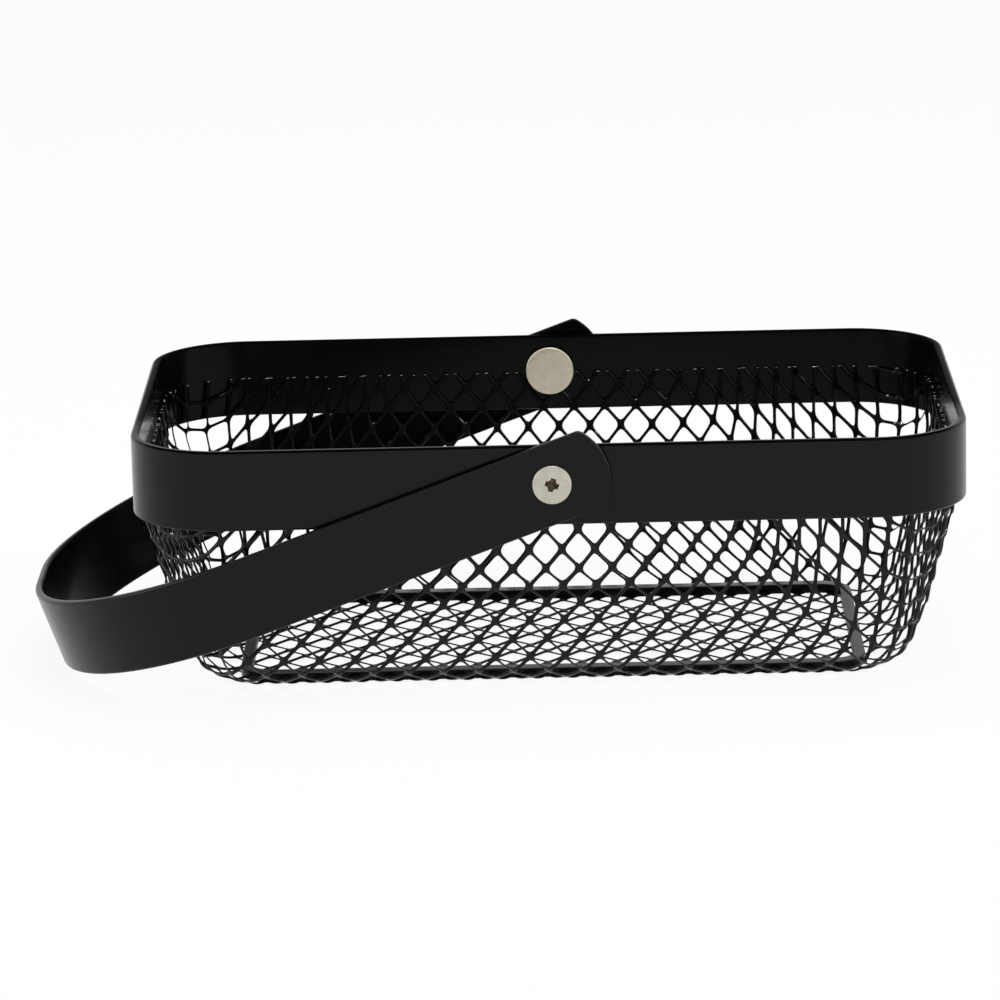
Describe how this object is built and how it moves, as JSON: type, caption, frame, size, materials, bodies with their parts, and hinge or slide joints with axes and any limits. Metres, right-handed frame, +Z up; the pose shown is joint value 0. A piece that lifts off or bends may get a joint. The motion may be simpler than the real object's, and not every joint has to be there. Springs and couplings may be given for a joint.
{
  "type": "expanded metal basket with swing handle",
  "caption": "Low rectangular basket of pressed black expanded metal in a flat-bar rim band, with a flat-bar base ring and a swing handle on pivots at the long sides.",
  "frame": {"origin": "middle of the tub's flat floor, on the plane that the basket stands on", "axes": "+X along the long sides, away from the lying handle; +Y towards the far long side; +Z up"},
  "size_m": [0.3527, 0.2016, 0.1041],
  "materials": {
    "black_powder_coat": "satin black powder coat, fine grain",
    "black_mesh_coat": "satin black powder coat over cut strands, softened edges",
    "nickel_plate": "satin nickel plate, faint turning marks",
    "black_nylon": "matt black nylon"
  },
  "bodies": {
    "basket": {"rim_band": "black_powder_coat", "mesh_tub": "black_mesh_coat", "base_ring": "black_powder_coat", "front_washer": "black_nylon", "rear_washer": "black_nylon", "front_sleeve_nut": "nickel_plate", "rear_sleeve_nut": "nickel_plate", "front_screw": "nickel_plate", "rear_screw": "nickel_plate"},
    "handle": {"handle": "black_powder_coat"}
  },
  "joints": [
    {"name": "handle_swing", "type": "hinge", "parent": "basket", "child": "handle", "pos_m": [0.001, 0, 0.0848], "axis": [0, 1, 0], "range_deg": [0, 220]}
  ]
}
